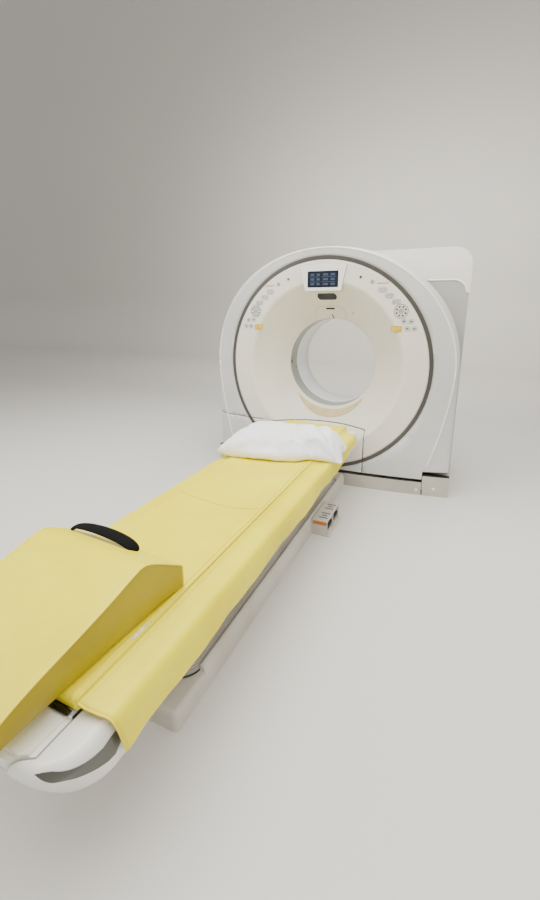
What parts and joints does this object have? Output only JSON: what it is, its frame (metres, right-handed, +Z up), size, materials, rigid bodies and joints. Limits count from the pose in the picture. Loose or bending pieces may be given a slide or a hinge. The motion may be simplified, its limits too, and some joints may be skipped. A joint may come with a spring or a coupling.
{
  "type": "ct scanner with patient table",
  "caption": "Tilting ring gantry with a bowed round front on a fixed base, and a lifting patient table with sliding cradle, mat, wedge cushion and pillow.",
  "frame": {"origin": "on the floor straight below the middle of the scan plane", "axes": "+X to the right seen from the table, +Y into the gantry away from the table, +Z up"},
  "size_m": [2.044, 3.571, 1.877],
  "materials": {
    "frame_steel": "satin",
    "grey_cover": "satin",
    "drive_metal": "satin",
    "warm_white_cover": "satin",
    "silver_grey_cover": "satin",
    "charcoal_trim": "satin",
    "cream_cover": "satin",
    "white_liner": "gloss",
    "window_film": "gloss",
    "beige_pad": "matt",
    "white_trim": "satin",
    "dark_screen": "gloss",
    "black_trim": "satin",
    "panel_film": "satin",
    "bearing_steel": "ground",
    "stator_iron": "varnished",
    "cast_aluminium": "as cast",
    "detector_housing": "satin",
    "slip_brass": "turned",
    "beige_cover": "satin",
    "pedal_rubber": "matt",
    "taupe_cover": "satin",
    "table_white": "satin",
    "cradle_shell": "satin",
    "yellow_vinyl": "semi-gloss",
    "black_webbing": "woven",
    "white_cotton": "woven",
    "yellow_button": "satin"
  },
  "bodies": {
    "floor_base": {"base_frame": "frame_steel", "stands": "frame_steel", "plinth_front": "grey_cover", "plinth_rear": "grey_cover", "side_blocks": "grey_cover", "tilt_gearbox": "drive_metal", "table_base": "beige_cover", "pedal_housing": "beige_cover", "column_outer": "frame_steel"},
    "tilting_gantry": {"tilt_frame": "frame_steel", "front_cover": "warm_white_cover", "lower_front_cover": "warm_white_cover", "front_housing": "silver_grey_cover", "ring_trim": "charcoal_trim", "rear_cover": "grey_cover", "rear_top_cover": "cream_cover", "rear_bell": "warm_white_cover", "bore_liner": "white_liner", "scan_window": "window_film", "lip_pad": "beige_pad", "display_bezel": "white_trim", "display_screen": "dark_screen", "funnel_windows": "black_trim", "panel_trim_left": "panel_film", "panel_trim_right": "panel_film", "main_bearing": "bearing_steel", "drive_stator": "stator_iron", "brush_block": "black_trim"},
    "rotor": {"rotor_drum": "cast_aluminium", "xray_tube": "drive_metal", "collimator": "frame_steel", "detector_array": "detector_housing", "generator": "drive_metal", "slip_ring": "slip_brass"},
    "column_stage": {"column_mid": "frame_steel"},
    "table_top": {"lift_carriage": "taupe_cover", "table_frame": "table_white"},
    "roller": {"cradle_roller": "pedal_rubber"},
    "cradle_body": {"cradle": "cradle_shell", "cradle_end_cap": "table_white", "mat_end_strip": "black_trim", "mat": "yellow_vinyl", "mat_flap": "yellow_vinyl", "wedge": "yellow_vinyl", "wedge_strap": "black_webbing", "pillow": "white_cotton"},
    "cover_stage_1": {"lift_cover_1": "taupe_cover"},
    "cover_stage_2": {"lift_cover_2": "taupe_cover"},
    "cover_stage_3": {"lift_cover_3": "taupe_cover"},
    "cover_stage_4": {"lift_cover_4": "taupe_cover"},
    "pedal_up_body": {"pedal_up": "pedal_rubber"},
    "pedal_down_body": {"pedal_down": "pedal_rubber"},
    "rocker_left_1_body": {"rocker_left_1": "white_trim"},
    "rocker_left_2_body": {"rocker_left_2": "white_trim"},
    "rocker_left_3_body": {"rocker_left_3": "white_trim"},
    "stop_button_left_body": {"stop_button_left": "yellow_button"},
    "rocker_right_1_body": {"rocker_right_1": "white_trim"},
    "rocker_right_2_body": {"rocker_right_2": "white_trim"},
    "rocker_right_3_body": {"rocker_right_3": "white_trim"},
    "stop_button_right_body": {"stop_button_right": "yellow_button"}
  },
  "joints": [
    {"name": "gantry_tilt", "type": "hinge", "parent": "floor_base", "child": "tilting_gantry", "pos_m": [0, 0, 0.97], "axis": [1, 0, 0], "range_deg": [-3, 30]},
    {"name": "rotor_spin", "type": "hinge", "parent": "tilting_gantry", "child": "rotor", "pos_m": [0, 0, 0.97], "axis": [0, 1, 0], "continuous": true},
    {"name": "table_lift", "type": "slide", "parent": "floor_base", "child": "table_top", "axis": [0, 0, 1], "range_m": [0, 0.4]},
    {"name": "column_lift", "type": "slide", "parent": "floor_base", "child": "column_stage", "axis": [0, 0, 1], "range_m": [0, 0.2]},
    {"name": "cradle_slide", "type": "slide", "parent": "table_top", "child": "cradle_body", "axis": [0, 1, 0], "range_m": [0, 0.12]},
    {"name": "roller_turn", "type": "hinge", "parent": "table_top", "child": "roller", "pos_m": [0, -0.6, 0.4301], "axis": [1, 0, 0], "range_deg": [-360, 0]},
    {"name": "cover_1_lift", "type": "slide", "parent": "floor_base", "child": "cover_stage_1", "axis": [0, 0, 1], "range_m": [0, 0.08]},
    {"name": "cover_2_lift", "type": "slide", "parent": "floor_base", "child": "cover_stage_2", "axis": [0, 0, 1], "range_m": [0, 0.16]},
    {"name": "cover_3_lift", "type": "slide", "parent": "floor_base", "child": "cover_stage_3", "axis": [0, 0, 1], "range_m": [0, 0.24]},
    {"name": "cover_4_lift", "type": "slide", "parent": "floor_base", "child": "cover_stage_4", "axis": [0, 0, 1], "range_m": [0, 0.32]},
    {"name": "pedal_up_press", "type": "hinge", "parent": "floor_base", "child": "pedal_up_body", "pos_m": [0.248, -1.11, 0.058], "axis": [0, 1, 0], "range_deg": [0, 8], "stiffness_Nm_per_rad": 20, "springref_deg": -2.86},
    {"name": "pedal_down_press", "type": "hinge", "parent": "floor_base", "child": "pedal_down_body", "pos_m": [0.248, -0.978, 0.058], "axis": [0, 1, 0], "range_deg": [0, 8], "stiffness_Nm_per_rad": 20, "springref_deg": -2.86},
    {"name": "rocker_left_1_rock", "type": "hinge", "parent": "tilting_gantry", "child": "rocker_left_1_body", "pos_m": [-0.44645, -0.353, 1.55579], "axis": [0, 0, 1], "range_deg": [-1.5, 1.5], "stiffness_Nm_per_rad": 1},
    {"name": "rocker_left_2_rock", "type": "hinge", "parent": "tilting_gantry", "child": "rocker_left_2_body", "pos_m": [-0.4961, -0.34888, 1.51306], "axis": [0, 0, 1], "range_deg": [-1.5, 1.5], "stiffness_Nm_per_rad": 1},
    {"name": "rocker_left_3_rock", "type": "hinge", "parent": "tilting_gantry", "child": "rocker_left_3_body", "pos_m": [-0.54619, -0.34428, 1.47027], "axis": [0, 0, 1], "range_deg": [-1.5, 1.5], "stiffness_Nm_per_rad": 1},
    {"name": "stop_button_left_press", "type": "slide", "parent": "tilting_gantry", "child": "stop_button_left_body", "axis": [0.1004, 0.9949, 0], "range_m": [0, 0.0008], "stiffness_N_per_m": 800},
    {"name": "rocker_right_1_rock", "type": "hinge", "parent": "tilting_gantry", "child": "rocker_right_1_body", "pos_m": [0.44645, -0.353, 1.55579], "axis": [0, 0, 1], "range_deg": [-1.5, 1.5], "stiffness_Nm_per_rad": 1},
    {"name": "rocker_right_2_rock", "type": "hinge", "parent": "tilting_gantry", "child": "rocker_right_2_body", "pos_m": [0.4961, -0.34888, 1.51306], "axis": [0, 0, 1], "range_deg": [-1.5, 1.5], "stiffness_Nm_per_rad": 1},
    {"name": "rocker_right_3_rock", "type": "hinge", "parent": "tilting_gantry", "child": "rocker_right_3_body", "pos_m": [0.54619, -0.34428, 1.47027], "axis": [0, 0, 1], "range_deg": [-1.5, 1.5], "stiffness_Nm_per_rad": 1},
    {"name": "stop_button_right_press", "type": "slide", "parent": "tilting_gantry", "child": "stop_button_right_body", "axis": [-0.1004, 0.9949, 0], "range_m": [0, 0.0008], "stiffness_N_per_m": 800}
  ],
  "couplings": [
    {"joint": "column_lift", "follows": "table_lift", "ratio": 0.5},
    {"joint": "roller_turn", "follows": "cradle_slide", "rad_per_m": -51.02},
    {"joint": "cover_1_lift", "follows": "table_lift", "ratio": 0.2},
    {"joint": "cover_2_lift", "follows": "table_lift", "ratio": 0.4},
    {"joint": "cover_3_lift", "follows": "table_lift", "ratio": 0.6},
    {"joint": "cover_4_lift", "follows": "table_lift", "ratio": 0.8}
  ]
}
